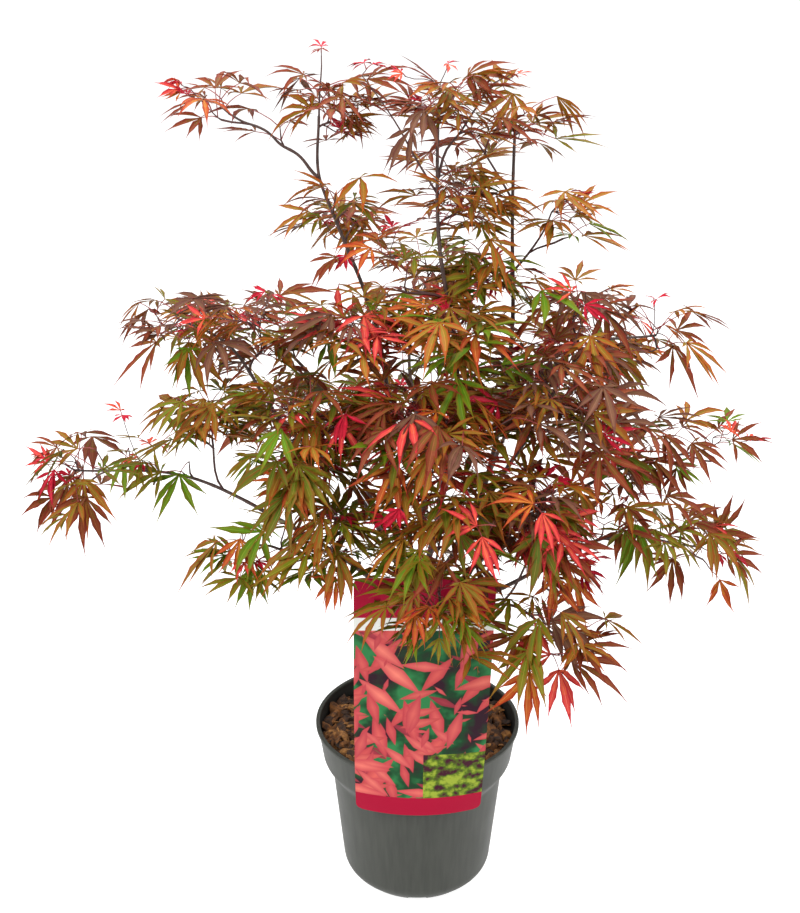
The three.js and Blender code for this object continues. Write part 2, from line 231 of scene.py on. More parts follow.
def make_pot():
    outside = [(0, 0, 0), (57.6, 0, 3), (69.8, 12, 7), (80.2, 116, 3), (88.3, 128, 3), (93, 160.2, 0.8)]
    lip = [(95, 161, 0.5), (95, POT_HEIGHT, 1), (93 - WALL, POT_HEIGHT, 0.8)]
    inside = [(91.2, 160, 3), (86.5, 128.5, 4), (78.4, 116.5, 4), (68, 16, 7), (58, BASE_THICKNESS, 4)]
    outline = rounded(outside + lip + inside + [(0, BASE_THICKNESS, 0)])
    points, faces = turned(outline, POT_TURNS)
    pot = add_piece("nursery_pot", points, faces, [make_pot_plastic()])
    cutters = []
    for i in range(CHANNELS):
        turn = -math.pi / 2 + 2 * math.pi * i / CHANNELS
        half = CHANNEL_WIDTH / 2
        for start, depth in ((CHANNEL_START, CHANNEL_DEPTH), (NOTCH_START, NOTCH_DEPTH)):
            cutters.append(box_mesh((start, -half, -depth), (RIM_RADIUS, half, depth), turn))
        top = 2 * BASE_THICKNESS
        hole_points, hole_faces = turned([(0, -1), (HOLE_RADIUS, -1), (HOLE_RADIUS, top), (0, top)], 24)
        x, y = HOLE_RING * math.cos(turn), HOLE_RING * math.sin(turn)
        cutters.append(([(px + x, py + y, pz) for px, py, pz in hole_points], hole_faces))
    for number, (points, faces) in enumerate(cutters):
        cut_away(pot, add_piece(f"cutter_{number}", points, faces, []))
    # Painted shade: the inside wall, from the base up to just under the lip, gets a near-black copy of the
    # plastic for the shade down inside the pot.
    inner_shade_material, _, _ = new_material("polypropylene_painted_inner_shade", "#15140f", 0.7)
    pot.data.materials.append(inner_shade_material)
    for face in pot.data.polygons:
        inward = face.normal.x * face.center.x + face.normal.y * face.center.y < 0
        if inward and BASE_THICKNESS * MM < face.center.z < (POT_HEIGHT - 2) * MM:
            face.material_index = 1
    pot.data.shade_smooth()
    pot.data.set_sharp_from_angle(angle=math.radians(30))
    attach(pot, "root")
    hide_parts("pot")


make_pot()

# ---- Bark substrate ----
# Composted pine bark that fills the pot to about 15 mm below the rim: a dark uneven bed, covered with
# loose flat chips of 8 to 24 mm, darker where they are damp.

SOIL_EDGE = 148
SOIL_CROWN = 152
SOIL_RADIUS = 89.2
CHIPS = 900
TRUNK_CLEARANCE = 16


def soil_height(x, y):
    """Height of the bed: a low mound with shallow dips."""
    share = min(math.hypot(x, y) / SOIL_RADIUS, 1)
    mound = SOIL_CROWN + (SOIL_EDGE - SOIL_CROWN) * share**2
    return mound + 0.9 * math.sin(x / 9 + 1) * math.cos(y / 7) - 0.6 * math.sin((x + y) / 5)


def pine_bark(name, dark, light):
    """Pine bark, broken: brown with a coarse streaky grain of about 2 mm that catches the light."""
    grain, tones = ((4, 4, 4), 5), ((0.35, dark), (0.68, light))
    return grained("pine_bark_" + name, dark, 0.85, 0.5, grain, tones, (*grain, 0.7, 0.8))[0]


def make_substrate():
    rng = np.random.default_rng(11)
    side = [(0, 8), (56, 8), (66, 19), (76, 116), (84, 128.5), (SOIL_RADIUS, SOIL_EDGE - 1)]
    rings = [(r, soil_height(r, 0)) for r in np.linspace(SOIL_RADIUS - 0.6, 3, 30)]
    points, faces = turned([*side, *rings, (0, SOIL_CROWN)], 120)
    top = SOIL_EDGE - 1.5
    points = [
        (x, y, soil_height(x, y) + rng.normal(0, 0.5)) if z > top and math.hypot(x, y) < 88 else (x, y, z)
        for x, y, z in points
    ]
    bed = add_piece("bark_bed", points, faces, [pine_bark("damp", "#120b07", "#2b1a10")])
    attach(bed, "root")
    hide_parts("substrate")

    sphere = bmesh.new()
    bmesh.ops.create_icosphere(sphere, subdivisions=2, radius=1)
    flake = np.array([vertex.co[:] for vertex in sphere.verts])
    flake_faces = np.array([[vertex.index for vertex in face.verts] for face in sphere.faces])
    sphere.free()
    points, faces, slots = [], [], []
    for number in range(CHIPS):
        radius = math.sqrt(rng.uniform((TRUNK_CLEARANCE / SOIL_RADIUS) ** 2, 1)) * (SOIL_RADIUS - 2)
        turn = rng.uniform(0, 2 * math.pi)
        x, y = radius * math.cos(turn), radius * math.sin(turn)
        size = np.array([rng.uniform(4.5, 12), rng.uniform(2.8, 6.2), rng.uniform(0.7, 2.2)])
        chip = flake * size * (1 + rng.uniform(-0.3, 0.3, flake.shape))
        # A chip is curled across its grain, and lies at a low slant with any heading.
        chip[:, 2] -= rng.uniform(0.02, 0.09) * chip[:, 1] ** 2 + rng.uniform(-0.01, 0.02) * chip[:, 0] ** 2
        heading, tilt, roll = rng.uniform(0, 2 * math.pi), rng.normal(0, 0.34), rng.normal(0, 0.5)
        ch, sh, ct, st, cr, sr = (f(a) for a in (heading, tilt, roll) for f in (math.cos, math.sin))
        turn_z = np.array([[ch, -sh, 0], [sh, ch, 0], [0, 0, 1]])
        turn_y = np.array([[ct, 0, st], [0, 1, 0], [-st, 0, ct]])
        turn_x = np.array([[1, 0, 0], [0, cr, -sr], [0, sr, cr]])
        chip = chip @ (turn_z @ turn_y @ turn_x).T
        reach = np.hypot(chip[:, 0] + x, chip[:, 1] + y)
        inward = np.minimum(1, SOIL_RADIUS / np.maximum(reach, 1))
        chip[:, 0], chip[:, 1] = (chip[:, 0] + x) * inward, (chip[:, 1] + y) * inward
        chip[:, 2] += soil_height(x, y) + rng.uniform(0.3, 5.2)
        faces.append(flake_faces + number * len(flake))
        points.append(chip)
        slots += [int(rng.choice(3, p=[0.42, 0.38, 0.2]))] * len(flake_faces)
    barks = [("dark", "#1c1009", "#4c2e16"), ("brown", "#3e2410", "#82501f"), ("fresh", "#5e3a18", "#a8743a")]
    barks = [pine_bark(*bark) for bark in barks]
    chips = add_piece("bark_chips", np.concatenate(points), np.concatenate(faces), barks, slots, crease=25)
    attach(chips, "root")
    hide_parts("substrate")


make_substrate()

# ---- Plant card ----
# A sheet of printed polypropylene, 115 by 264 mm with round corners. A die-cut tongue hooks it over
# the rim, it leans out as the pot's wall does, and its foot bows round the pot.

CARD_WIDTH = 115
CARD_LENGTH = 264
CARD_THICKNESS = 1.0
CARD_FOOT = 120
CARD_LEAN = 0.155
CARD_TURN = 0.015
CARD_BOW = 12
CARD_CORNER = 6
TONGUE_WIDTH = 26
HEADER_HEIGHT = 341  # the printed bands, by their height above the ground
STRIP_HEIGHT = 328
FOOT_BAND_HEIGHT = 141
BLADE_LENGTH = 64  # spacing of the printed leaf blades, along them and across them
BLADE_WIDTH = 17
BLADE_EDGE = 0.46  # where a blade ends, as a share of the spacing
CRIMSON_INK = "#98062c"
CORNER_PRINT = (4, 192)  # the mottled corner of the print: its left edge, and its top


def card_plane(height):
    """How far forward the card's back face is at a height."""
    return -RIM_RADIUS - 1.2 - (height - POT_HEIGHT) * CARD_LEAN


def bent_card(across, along, through):
    """A point of the flat sheet, where the bent sheet has it."""
    height = CARD_FOOT + along * math.cos(math.atan(CARD_LEAN))
    bow = CARD_BOW * (1 - along / CARD_LENGTH) ** 2
    share = 2 * across / CARD_WIDTH
    narrowing = 1 - (2 / 3) * (2 * bow / CARD_WIDTH) ** 2
    return across * narrowing + along * CARD_TURN, card_plane(height) - through + bow * share**2, height


def make_print():
    """Offset print on matt film: crimson bands, a white strip, and coral leaf blades over green and plum."""
    material, tree, shader = new_material("printed_polypropylene_matt", CRIMSON_INK, 0.6, 0.08)
    place = add_node(tree, "ShaderNodeTexCoord").outputs["Object"]
    split = add_node(tree, "ShaderNodeSeparateXYZ", {"Vector": place})
    across, height = split.outputs["X"], split.outputs["Z"]
    mottles = []  # two grounds of soft mottling: shaded green, and bright green with plum
    for size, tones in ((30, ("#2a1420", "#163c22", "#2c7040")), (9, ("#3c1424", "#4c6418", "#8a9a32"))):
        cloud = add_node(tree, "ShaderNodeTexNoise", {"Vector": place, "Scale": 1 / (size * MM), "Detail": 3})
        ramp = add_node(tree, "ShaderNodeValToRGB", {"Fac": cloud.outputs["Fac"]})
        ramp.color_ramp.elements.new(0.5)
        for element, position, tone in zip(ramp.color_ramp.elements, (0.38, 0.5, 0.62), tones):
            element.position, element.color = position, linear(tone)
        mottles.append(ramp.outputs["Color"])
    inks = []  # each ink laid over the ones before it: where it shows, and its colour
    blades = (
        (0.5, "#7c2834", "#a03a44"), (-0.95, "#a83a40", "#c85a52"), (1.35, "#a4343e", "#cc6058"),
        (-0.3, "#a83c40", "#d06c5e"), (0.8, "#b04248", "#dc7868"), (-1.3, "#a43842", "#cc6258"),
        (0.1, "#b03e46", "#d87264"),
    )
    for turn, edge_tone, middle_tone in blades:
        spacing = (BLADE_LENGTH * MM, 1000, BLADE_WIDTH * MM)
        laid = {"Vector": place, "Rotation": (0, turn, 0), "Location": (turn, 0, turn / 2), "Scale": spacing}
        laid = add_node(tree, "ShaderNodeMapping", laid, vector_type="TEXTURE").outputs["Vector"]
        outline = {"Vector": laid, "Scale": 1, "Randomness": 0.85, "Exponent": 1.15}
        blade = add_node(tree, "ShaderNodeTexVoronoi", outline, distance="MINKOWSKI").outputs["Distance"]
        edges = {"Value": blade, "From Min": BLADE_EDGE, "From Max": BLADE_EDGE - 0.03}
        cover = add_node(tree, "ShaderNodeMapRange", edges)
        shade = add_node(tree, "ShaderNodeValToRGB", {"Fac": blade})
        middle, edge = shade.color_ramp.elements
        middle.color, edge.color, edge.position = linear(middle_tone), linear(edge_tone), BLADE_EDGE
        inks.append((cover.outputs["Result"], shade.outputs["Color"]))
    borders = (
        (across, CORNER_PRINT[0], "GREATER_THAN"), (height, CORNER_PRINT[1], "LESS_THAN"),
        (height, STRIP_HEIGHT, "GREATER_THAN"), (height, HEADER_HEIGHT, "GREATER_THAN"),
        (height, FOOT_BAND_HEIGHT, "LESS_THAN"),
    )
    right_of, under, strip, header, foot_band = (
        add_node(tree, "ShaderNodeMath", {0: measure, 1: edge * MM}, operation=side).outputs["Value"]
        for measure, edge, side in borders
    )
    corner = add_node(tree, "ShaderNodeMath", {0: right_of, 1: under}, operation="MULTIPLY").outputs["Value"]
    inks += [(corner, mottles[1]), (strip, "#d2d4ce"), (header, CRIMSON_INK), (foot_band, CRIMSON_INK)]
    colour = mottles[0]
    for shows, ink in inks:
        mix = add_node(tree, "ShaderNodeMix", {"Factor": shows}, data_type="RGBA")
        tree.links.new(colour, mix.inputs[6])
        if isinstance(ink, str):
            mix.inputs[7].default_value = linear(ink)
        else:
            tree.links.new(ink, mix.inputs[7])
        colour = mix.outputs[2]
    tree.links.new(colour, shader.inputs["Base Color"])
    return material


def make_card():
    rows = np.concatenate([np.linspace(0, CARD_CORNER, 6), np.linspace(14, CARD_LENGTH - 14, 26)])
    rows = np.concatenate([rows, np.linspace(CARD_LENGTH - CARD_CORNER, CARD_LENGTH, 6)])
    columns = np.linspace(-1, 1, 25)
    points, faces, slots = [], [], []
    for through in (CARD_THICKNESS, 0):
        for along in rows:
            from_end = min(along, CARD_LENGTH - along, CARD_CORNER)
            short = CARD_CORNER - math.sqrt(CARD_CORNER**2 - (CARD_CORNER - from_end) ** 2)
            half = CARD_WIDTH / 2 - short
            points += [bent_card(share * half, along, through) for share in columns]
    wide, tall = len(columns), len(rows)
    back = wide * tall
    for row in range(tall - 1):
        for column in range(wide - 1):
            a = row * wide + column
            faces += [(a, a + 1, a + wide + 1, a + wide)]
            faces += [(back + a, back + a + wide, back + a + wide + 1, back + a + 1)]
            slots += [0, 1]
    rim = [*range(wide)] + [r * wide + wide - 1 for r in range(1, tall)]
    rim += [(tall - 1) * wide + c for c in range(wide - 2, -1, -1)]
    rim += [r * wide for r in range(tall - 2, 0, -1)]
    for here, there in zip(rim, rim[1:] + rim[:1]):
        faces.append((here, back + here, back + there, there))
        slots.append(1)
    # The tongue: over the rim and down inside the wall.
    bridge = POT_HEIGHT + 0.3
    path = [(-96.7, 0), (-90.8, 0), (-89.2, -0.6), (-88.6, -2.5), (-87.2, -14)]
    path = [(y, bridge + z) for y, z in path]
    start = len(points)
    for i, (y, z) in enumerate(path):
        before, after = path[max(i - 1, 0)], path[min(i + 1, len(path) - 1)]
        along = np.array(after) - np.array(before)
        normal = np.array([-along[1], along[0]]) / np.linalg.norm(along) * CARD_THICKNESS
        for side in (-1, 1):
            points.append((side * TONGUE_WIDTH / 2, y, z))
            points.append((side * TONGUE_WIDTH / 2, y + normal[0], z + normal[1]))
    for i in range(len(path) - 1):
        a = start + 4 * i
        for here, there in ((0, 2), (2, 3), (3, 1), (1, 0)):
            faces.append((a + here, a + there, a + there + 4, a + here + 4))
            slots.append(1)
    last = start + 4 * (len(path) - 1)
    faces += [(start, start + 1, start + 3, start + 2), (last, last + 2, last + 3, last + 1)]
    slots += [1, 1]
    white, _, _ = new_material("polypropylene_sheet_white", "#e9e9e4", 0.35)
    card = add_piece("plant_card_sheet", points, faces, [make_print(), white], slots, crease=40)
    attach(card, "root")
    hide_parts("plant_card")


make_card()

# ---- Trunk and limbs ----
# Slender maple wood: a short flared trunk and sixteen limbs that fan out of it, in smooth dark bark with
# a raised ring at each old leaf pair. Each is a tapering tube along a smooth route, with its relief in mesh.

RING_SPACING = 31  # between the old leaf pairs on a limb
BARK_STEP = 3  # between the rings of corners along a limb
BARK_SIDES = 14
LIMB_TAPER = 0.7  # a limb thins faster near its foot
LIMB_WAVER = 1.6

# Each route with its foot and tip radius.
TRUNK = ([(0, 0, 152.3), (3, 1, 190), (4, -2, 240), (-2, -6, 300)], 9, 6)
LIMBS = {
    "stem_left": (
        [(-3, -6, 292), (-22, -10, 375), (-37, 4, 555), (-70, 17, 636), (-83, 24, 670), (-82, 30, 718)],
        3.2,
        1.1,
    ),
    "stem_centre": ([(-1, -7, 294), (20, -22, 398), (30, -34, 524), (15, -20, 622), (14, 8, 722)], 3.4, 1.2),
    "stem_right": ([(0, -6, 284), (46, 6, 365), (78, 24, 500), (77, 31, 620), (78, 40, 712)], 3.2, 1.2),
    "limb_top_left": ([(-83, 24, 669), (-110, 24, 696), (-154, 20, 722)], 1.5, 0.9),
    "limb_left_shoulder": (
        [(-3, -6, 296), (-52, -58, 420), (-112, -60, 490), (-161, -28, 545), (-200, -12, 560)], 2.9, 1,
    ),
    "limb_left_arm": (
        [(1, -3, 246), (-42, -52, 340), (-100, -80, 396), (-184, -58, 436), (-288, -42, 436)], 3, 0.9,
    ),
    "limb_left_low": ([(-74, -71, 374), (-108, -100, 392), (-138, -118, 404)], 1.6, 0.9),
    "limb_right_shoulder": ([(38, 2, 350), (96, -30, 470), (146, -10, 536), (200, 10, 538)], 2.6, 1),
    "limb_right_arm": ([(2, -5, 268), (62, -42, 360), (150, -36, 426), (250, 8, 434)], 3, 0.9),
    "limb_right_low": ([(4, -3, 240), (72, -52, 330), (160, -62, 382), (246, -22, 354)], 2.8, 0.9),
    "limb_right_skirt": ([(4, -2, 226), (38, -64, 304), (80, -112, 344), (114, -132, 326)], 2.7, 1),
    "limb_front": ([(3, -2, 256), (8, -62, 344), (13, -124, 384), (15, -164, 376)], 2.7, 1),
    "limb_back_left": ([(2, 0, 262), (-46, 62, 370), (-106, 118, 470), (-160, 110, 520)], 3.1, 1.1),
    "limb_back_right": ([(2, 0, 250), (52, 66, 350), (112, 116, 450), (164, 112, 490)], 3.1, 1.1),
    "limb_back": ([(0, -4, 286), (6, 70, 400), (-6, 128, 500), (10, 160, 545)], 3.1, 1.1),
    "limb_back_low": ([(3, 0, 232), (-10, 84, 320), (-34, 160, 380), (-40, 190, 396)], 2.7, 1),
}


def unit(vector):
    return vector / max(np.linalg.norm(vector), 1e-9)


def smooth_route(corners, step, start=None, end=None):
    """Points about a step apart on a smooth curve through the corners, with its end directions if given."""
    corners = np.array(corners, float)
    spans = np.linalg.norm(np.diff(corners, axis=0), axis=1)
    knots = np.concatenate([[0], np.cumsum(spans)])
    slopes = np.gradient(corners, knots, axis=0)
    if start is not None:
        slopes[0] = unit(start)
    if end is not None:
        slopes[-1] = unit(end)
    places = np.linspace(0, knots[-1], max(int(knots[-1] / step), 3) + 1)
    index = np.clip(np.searchsorted(knots, places, side="right") - 1, 0, len(spans) - 1)
    span = spans[index][:, None]
    t = ((places - knots[index]) / spans[index])[:, None]
    h00, h10 = 2 * t**3 - 3 * t**2 + 1, t**3 - 2 * t**2 + t
    h01, h11 = -2 * t**3 + 3 * t**2, t**3 - t**2
    here, there = corners[index], corners[index + 1]
    return h00 * here + h10 * span * slopes[index] + h01 * there + h11 * span * slopes[index + 1]


def tube(route, radii, sides, relief=None):
    """Points and triangles of a closed tube; relief(angles, ring number) scales its radius."""
    heading = np.gradient(route, axis=0)
    heading /= np.linalg.norm(heading, axis=1)[:, None]
    side = unit(np.cross(heading[0], (0.3, 0.9, 0.2)))
    angles = 2 * np.pi * np.arange(sides) / sides
    points = []
    for i, (place, forward) in enumerate(zip(route, heading)):
        side = unit(side - forward * np.dot(side, forward))
        across = np.cross(forward, side)
        scale = radii[i] * (relief(angles, i) if relief else np.ones(sides))
        ring = np.outer(np.cos(angles) * scale, side) + np.outer(np.sin(angles) * scale, across)
        points.append(place + ring)
    points = np.concatenate([*points, route[:1], route[-1:]])
    ring, firsts = np.arange(sides), np.arange(len(route) - 1)[:, None] * sides
    after = (ring + 1) % sides
    a, b = (firsts + ring).ravel(), (firsts + after).ravel()
    walls = np.concatenate([np.stack([a, b, b + sides], 1), np.stack([a, b + sides, a + sides], 1)])
    last, foot_middle = (len(route) - 1) * sides, len(route) * sides
    foot = np.stack([np.full(sides, foot_middle), after, ring], 1)
    tip = np.stack([np.full(sides, foot_middle + 1), last + ring, last + after], 1)
    return points, np.concatenate([walls, foot, tip])


def make_bark():
    """Maple bark, young: smooth and dark purple-brown, with pale flecks and fine lengthwise lines."""
    grain = ((1.2, 1.2, 14), 3)
    tones = ((0.3, "#241716"), (0.72, "#5a4038"))
    return grained("maple_bark_young", "#3a2926", 0.6, 0.5, grain, tones, (*grain, 0.4, 0.3))[0]


wood_points = []  # every sampled point of the wood, with its heading and radius, for what grows on it
wood_headings = []
wood_radii = []


def remember_wood(route, radii):
    """Keeps a route's points, so that later growth can start from them."""
    wood_points.extend(route)
    ways = np.gradient(route, axis=0)
    wood_headings.extend(ways / np.linalg.norm(ways, axis=1)[:, None])
    wood_radii.extend(radii)


def make_trunk_and_limbs():
    bark = make_bark()
    rng = np.random.default_rng(3)
    for name, (corners, foot, tip) in {"trunk": TRUNK, **LIMBS}.items():
        route = smooth_route(corners, BARK_STEP)
        share = np.linspace(0, 1, len(route))
        radii = foot + (tip - foot) * share**LIMB_TAPER
        # A limb wavers a little between its leaf pairs, and starts and ends where the frame has it.
        waver = np.sin(share[:, None] * rng.uniform(9, 16, 3) + rng.uniform(0, 6, 3))
        waver *= np.sin(share * np.pi)[:, None]
        if name != "trunk":
            route = route + waver * LIMB_WAVER
        places = share * (len(route) - 1) * BARK_STEP
        from_ring = (places + RING_SPACING / 2) % RING_SPACING - RING_SPACING / 2
        rings = 1 + 0.16 * np.exp(-((from_ring / 1.6) ** 2))
        flare = np.exp(-places / 9) if name == "trunk" else np.zeros(len(route))
        phases = rng.uniform(0, 6, 4)

        def relief(angles, i):
            ridges = 0.035 * np.sin(3 * angles + phases[0] + i * 0.11)
            ridges += 0.03 * np.sin(5 * angles + phases[1] - i * 0.07)
            knots = 0.02 * np.sin(2 * angles + phases[2] + i * 0.7)
            roots = flare[i] * (0.45 + 0.3 * np.cos(5 * angles + phases[3]))
            return rings[i] * (1 + ridges + knots + roots)

        points, faces = tube(route, radii, BARK_SIDES, relief)
        piece = add_piece("bark_" + name, points, faces, [bark])
        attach(piece, "root")
        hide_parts(name)
        if name != "trunk":
            remember_wood(route, radii)


make_trunk_and_limbs()

# ---- Twigs ----
# One twig grows from the nearest limb into each tier of leaves, and shoots branch from it to all sides
# of the tier. Each is a thin tapering tube of reddish young wood.

SHOOT_AREA = 495  # square millimetres of a tier, seen from above, for each shoot
LEAF_REACH = 30  # how far a leaf on its stalk covers the tier beyond its shoot
HEART = np.array([50, -90, 470])  # the middle of the densest part of the crown
HEART_RADIUS = 140
HEART_FILL = 0.6  # the extra share of shoots there
# The share of the usual number of shoots in the tiers that are more open, or fuller, than the rest.
TIER_FILL = {
    "top_left_tip": 0.55, "top_left": 0.95, "top_centre": 0.65, "top_right": 0.6, "upper_left": 0.15,
    "upper_centre": 0.6, "upper_right_tip": 0.55, "high_left": 0.12, "high_right": 0.6,
    "left_shoulder_tip": 0.56, "left_shoulder": 0.42, "mid_left": 0.74, "mid_centre": 0.66,
    "right_shoulder": 0.44, "right_shoulder_tip": 0.4, "left_flank_tip": 0.6, "left_flank": 1.1,
    "right_flank": 0.73, "right_arm": 0.5, "right_arm_tip": 0.23, "left_arm_tip": 0.5, "left_arm": 0.1,
    "left_low_tip": 0.28, "front_low": 0.8, "front_apron": 1.05, "right_low_front": 1.5, "right_low": 0.2,
    "right_low_tip": 0.38, "right_skirt": 0.22, "right_apron": 0.4, "back_top": 0.42, "back_high": 0.5,
    "back_left": 0.62, "back": 0.56, "back_right": 0.76, "back_low_left": 0.56, "back_low": 0.9,
    "back_low_right": 1.1, "heart": 0.92, "left_low": 0.9,
}
TWIG_STEP = 8
SPUR_SPACING = 34  # between the short side shoots on the bare stretches of a limb
SPUR_CHANCE = 0.42
SPUR_START = 0.42  # the share of a limb that has no spurs
GOLDEN_ANGLE = 2.4  # between one shoot of a tier and the next, in radians
BRANCHLET_TIP = 0.5
# The long thin shoots that carry on from the stems near the top: each one's radius and route.
BRANCHLETS = (
    (1.1, [(13, -8, 664), (-3, -2, 689), (-20, 4, 718), (-38, 8, 743), (-46, 10, 753)]),
    (1.3, [(14, -5, 675), (21, 5, 696), (31, 12, 707), (46, 18, 729), (58, 22, 745), (73, 25, 752)]),
    (1.1, [(76, 34, 650), (64, 34, 670), (42, 30, 704), (28, 26, 725), (10, 22, 747)]),
    (0.9, [(-82, 30, 716), (-81, 30, 737), (-79, 30, 758), (-79, 30, 766)]),
    (1.2, [(77, 30, 585), (93, 26, 607), (104, 22, 627), (111, 20, 645), (127, 14, 655)]),
)

twig_parts = []
shoots = []  # each shoot that bears leaves: its route, its tier, the tier's finish and its way outwards

growth_rng = np.random.default_rng(22)


def grow_twig(target, foot_limit, tip, lift):
    """A twig from the best place on the wood so far to the target. It leaves at a narrow angle."""
    places, headings, radii = np.array(wood_points), np.array(wood_headings), np.array(wood_radii)
    ways = target - places
    spans = np.maximum(np.linalg.norm(ways, axis=1), 1)
    facing = np.einsum("ij,ij->i", ways, headings) / spans
    above = np.maximum(places[:, 2] - target[2], 0)
    cost = spans * (1.6 - 0.7 * facing) + 0.8 * above + np.where(radii < tip, 40, 0)
    best = int(np.argmin(cost))
    way = unit(target - places[best])
    start = unit(headings[best] * 0.6 + way * 0.5)
    end = unit(way + np.array([0, 0, lift]))
    route = smooth_route([places[best], target], TWIG_STEP, start, end)
    radii = np.linspace(min(radii[best] * 0.8, foot_limit), tip, len(route))
    twig_parts.append(tube(route, radii, 5))
    remember_wood(route[1:], radii[1:])
    return route


def tier_boxes():
    """The middle, half size and finish of each tier in the frame."""
    tiers = {}
    for part in frame["record"]["subparts"]:
        if part["node"].startswith("tier_"):
            low, high = (np.array(corner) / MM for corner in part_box(part["node"]))
            tiers[part["node"]] = ((low + high) / 2, (high - low) / 2, part["material_slot"])
    return tiers


def nearest_tier(place):
    return min(tiers, key=lambda tier: np.linalg.norm((tiers[tier][0] - place) / tiers[tier][1]))


def grow_tier(name, middle, half, slot):
    """Fills one tier with shoots from its middle outwards, and with more of them near the crown's heart."""
    grow_twig(middle - (0, 0, 0.35 * half[2]), 2.2, 1.0, 0.2)
    nearness = math.exp(-((np.linalg.norm(middle - HEART) / HEART_RADIUS) ** 2))
    fill = TIER_FILL.get(name.removeprefix("tier_"), 1) * (1 + HEART_FILL * nearness)
    count = round(math.pi * half[0] * half[1] / SHOOT_AREA * fill)
    first = growth_rng.uniform(0, 2 * np.pi)
    for k in range(count):
        turn = first + k * GOLDEN_ANGLE + growth_rng.normal(0, 0.2)
        side = np.array([math.cos(turn), math.sin(turn), 0])
        edge = 1 / math.hypot(side[0] / half[0], side[1] / half[1])
        reach = max(edge - LEAF_REACH, 8) * math.sqrt((k + 0.6) / count) * growth_rng.uniform(0.9, 1.15)
        level = half[2] * growth_rng.uniform(-0.75, 0.75)
        route = grow_twig(middle + side * reach + (0, 0, level), 1.2, 0.5, 0.15)
        shoots.append({"route": route, "tier": name, "slot": slot, "outward": side})


def grow_spurs():
    """Short side shoots along the outer part of each limb. Each belongs to the nearest tier."""
    for corners, _, _ in LIMBS.values():
        route = smooth_route(corners, SPUR_SPACING)
        for k in range(int(SPUR_START * len(route)), len(route) - 1):
            if growth_rng.random() > SPUR_CHANCE:
                continue
            forward = unit(route[k + 1] - route[k])
            side = unit(np.cross(forward, (0, 0, 1))) * (1 if k % 2 else -1)
            tip = route[k] + side * growth_rng.uniform(12, 30) + forward * 12
            tip[2] += growth_rng.uniform(2, 16)
            name = nearest_tier(tip)
            spur = grow_twig(tip, 1.1, 0.5, 0.1)
            shoots.append({"route": spur, "tier": name, "slot": tiers[name][2], "outward": side})


def grow_branchlets():
    for foot, corners in BRANCHLETS:
        route = smooth_route(corners, TWIG_STEP)
        radii = np.linspace(foot, BRANCHLET_TIP, len(route))
        twig_parts.append(tube(route, radii, 6))
        remember_wood(route, radii)


tiers = tier_boxes()
grow_branchlets()
for tier, (middle, half, slot) in tiers.items():
    grow_tier(tier, middle, half, slot)
grow_spurs()

# ---- Leaves ----
# Palmate leaves of five or seven narrow lobes with toothed edges and long drawn-out tips, in opposite
# pairs on thin red stalks. Each lobe is a keeled strip that arches down under its own weight.

LEAF_LENGTH = 48  # the middle lobe of a full-grown leaf
LOBE_ANGLES = (0, 0.6, -0.6, 1.2, -1.2, 1.95, -1.95)
LOBE_LENGTHS = (1, 0.9, 0.9, 0.64, 0.64, 0.28, 0.28)
LOBE_WIDTH = 0.068  # half the greatest width, as a share of the length
# Places along a lobe, and its width there as a share of the greatest.
LOBE_OUTLINE = (
    (0, 0.14, 0.28, 0.44, 0.56, 0.68, 0.78, 0.88, 1),
    (0.2, 0.36, 0.76, 1, 0.88, 0.44, 0.18, 0.08, 0),
)
TOOTH = 0.1
PAIR_SPACING = 17
YOUNG_CHANCE = 0.12
OWN_TINT = 0.74  # the share of leaves that have their spray's tint
# How finely a lobe is meshed: from which length on, the corners along it, the corners across it as shares
# of its half width, and the tone of each strip between them (0 foot, 1 blade, 2 margin, 3 midrib).
LOBE_MESHES = (
    (38, 11, (-1, -0.6, -0.06, 0.06, 0.6, 1), (2, 1, 3, 1, 2)),
    (20, 9, (-1, -0.5, 0, 0.5, 1), (2, 1, 1, 2)),
    (0, 7, (-1, 0, 1), (1, 1)),
)

# The foot of the blade, the rest of it, its margin and tip, and the midrib, for each tint of leaf.
LEAF_TINTS = {
    "plum": ("#694730", "#6e4732", "#61372c", "#845943"),
    "maroon": ("#754c1e", "#824024", "#7a2d1b", "#995733"),
    "bronze": ("#756419", "#825b19", "#8b4714", "#9e7230"),
    "russet": ("#8b6d1f", "#94631f", "#9c4914", "#b67f37"),
    "olive": ("#646c0e", "#706912", "#7b5615", "#8e842e"),
    "moss": ("#4c5c0d", "#59590f", "#694b12", "#797029"),
    "green": ("#547b0e", "#5b750e", "#6b6912", "#7b8e26"),
    "coral": ("#d05439", "#c9433b", "#b42931", "#db7062"),
    "orange": ("#b06a20", "#ae5220", "#a0391a", "#ce8246"),
    "crimson": ("#ba1731", "#aa1129", "#910b21", "#d4465c"),
}
LEAF_SLOTS = {"coral": "leaves_red", "crimson": "leaves_red", "olive": "leaves_olive", "moss": "leaves_olive"}
LEAF_SLOTS |= {"orange": "leaves_olive", "green": "leaves_green"}
# How the sprays of a tier are dealt out, by the tier's finish in the record.
SPRAY_TINTS = {
    "leaves_bronze": {
        "maroon": 7, "plum": 3.6, "bronze": 5, "russet": 4, "olive": 1.8, "moss": 1.2, "green": 0.6,
        "coral": 1.1,
    },
    "leaves_red": {
        "maroon": 6, "plum": 2, "bronze": 4.5, "russet": 3, "coral": 2.2, "orange": 1.4, "olive": 2,
        "moss": 1.2, "green": 0.7,
    },
    "leaves_olive": {
        "olive": 4.6, "moss": 3.6, "bronze": 4, "russet": 2.5, "green": 1.8, "orange": 0.6, "maroon": 2.8,
        "coral": 0.4,
    },
    "leaves_green": {"green": 5, "olive": 4.5, "moss": 3, "orange": 0.8, "bronze": 2.5, "maroon": 0.8},
}
